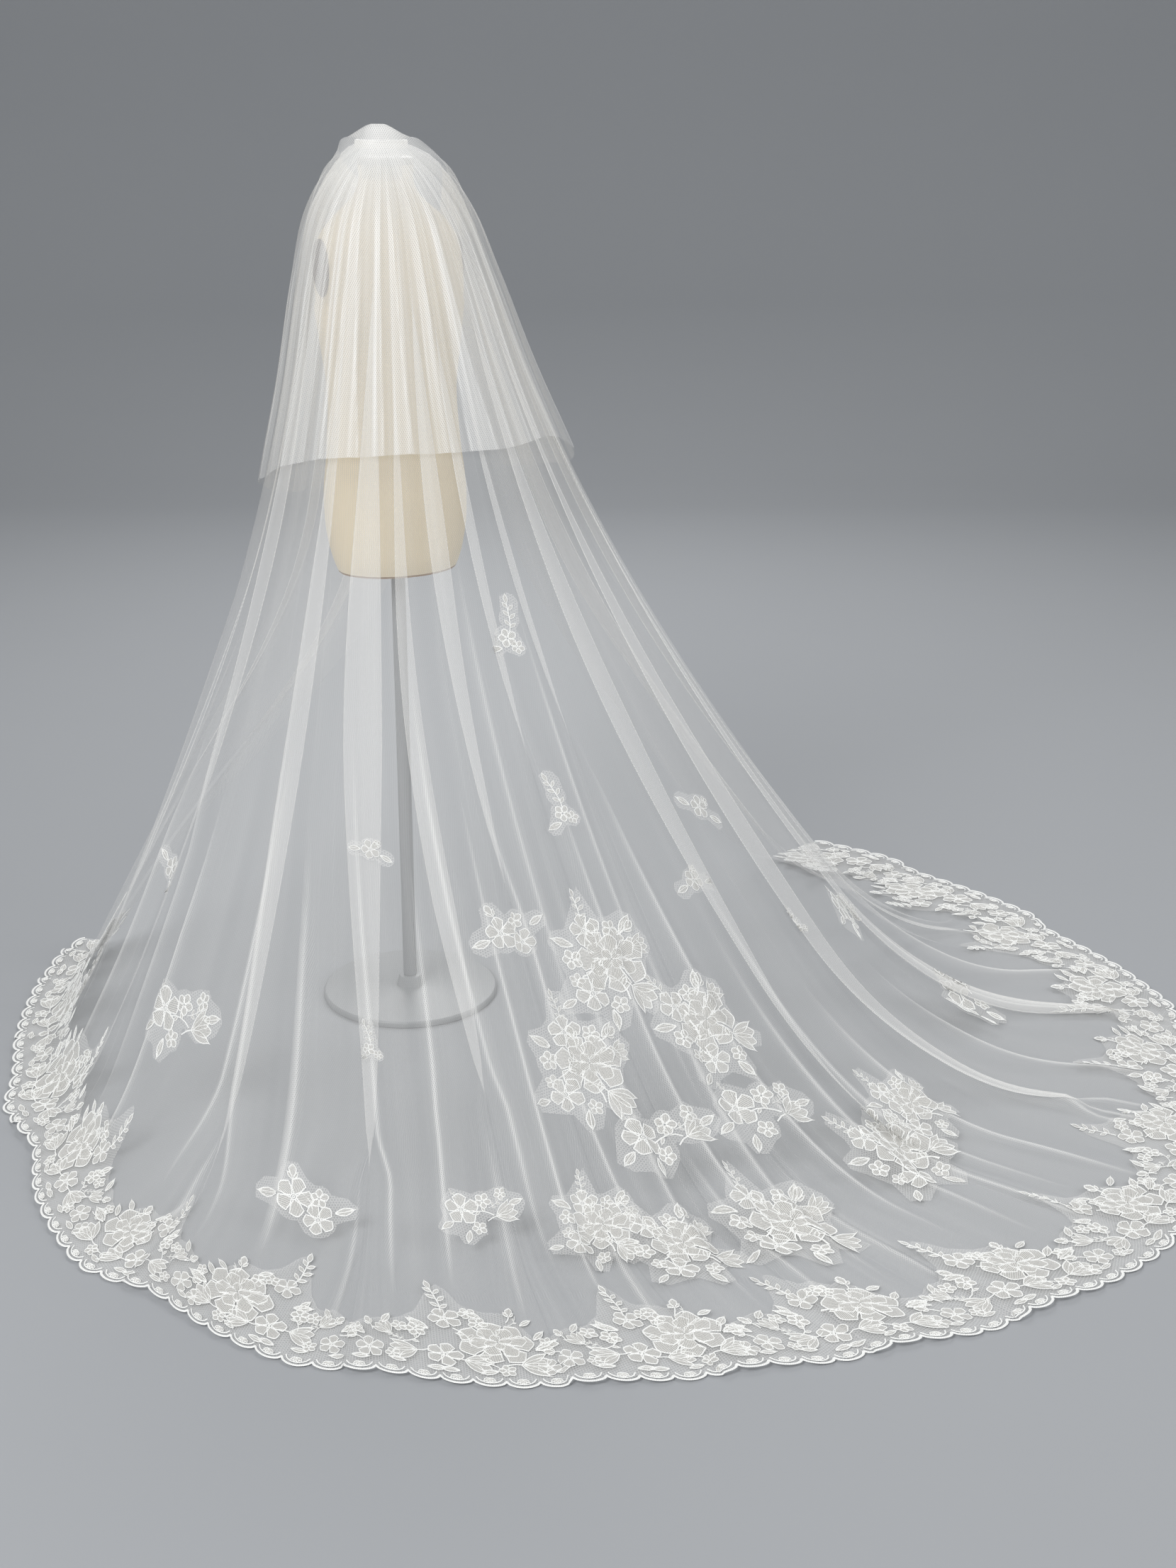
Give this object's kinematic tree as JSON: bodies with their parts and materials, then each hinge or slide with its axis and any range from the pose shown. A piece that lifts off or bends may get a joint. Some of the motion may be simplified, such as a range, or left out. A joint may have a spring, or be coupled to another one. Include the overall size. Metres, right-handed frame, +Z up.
{
  "type": "bridal veil on a dress form",
  "caption": "Two-tier tulle bridal veil with scalloped lace hem and flower sprays, gathered on a comb and spread over a limbless dress form on a stand.",
  "frame": {"origin": "centre of the stand's underside, on the floor", "axes": "+Z up; +Y the way the dress form faces; the train spreads towards -Y and +X"},
  "size_m": [2.1273, 1.916, 1.5995],
  "materials": {
    "tulle": "fine ivory net",
    "lace": "corded lace",
    "satin": "satin binding",
    "comb": "clear moulded",
    "jersey": "cotton jersey",
    "stained_wood": "dark stain, satin",
    "steel": "powder coated"
  },
  "bodies": {
    "root": {"long_tier": "tulle", "short_tier": "tulle", "gather_band": "satin", "comb": "comb", "form_torso": "jersey", "form_neck_cap": "stained_wood", "armhole_plate_left": "stained_wood", "armhole_plate_right": "stained_wood", "form_pole": "steel", "form_base": "steel", "lace_hem": "lace", "applique_01": "lace", "applique_02": "lace", "applique_03": "lace", "applique_04": "lace", "applique_05": "lace", "applique_06": "lace", "applique_07": "lace", "applique_08": "lace", "applique_09": "lace", "applique_10": "lace", "applique_11": "lace", "applique_12": "lace", "applique_13": "lace", "applique_14": "lace", "applique_15": "lace", "applique_16": "lace", "applique_17": "lace", "applique_18": "lace", "applique_19": "lace", "applique_20": "lace", "applique_21": "lace", "applique_22": "lace", "applique_23": "lace", "applique_24": "lace"}
  },
  "joints": []
}
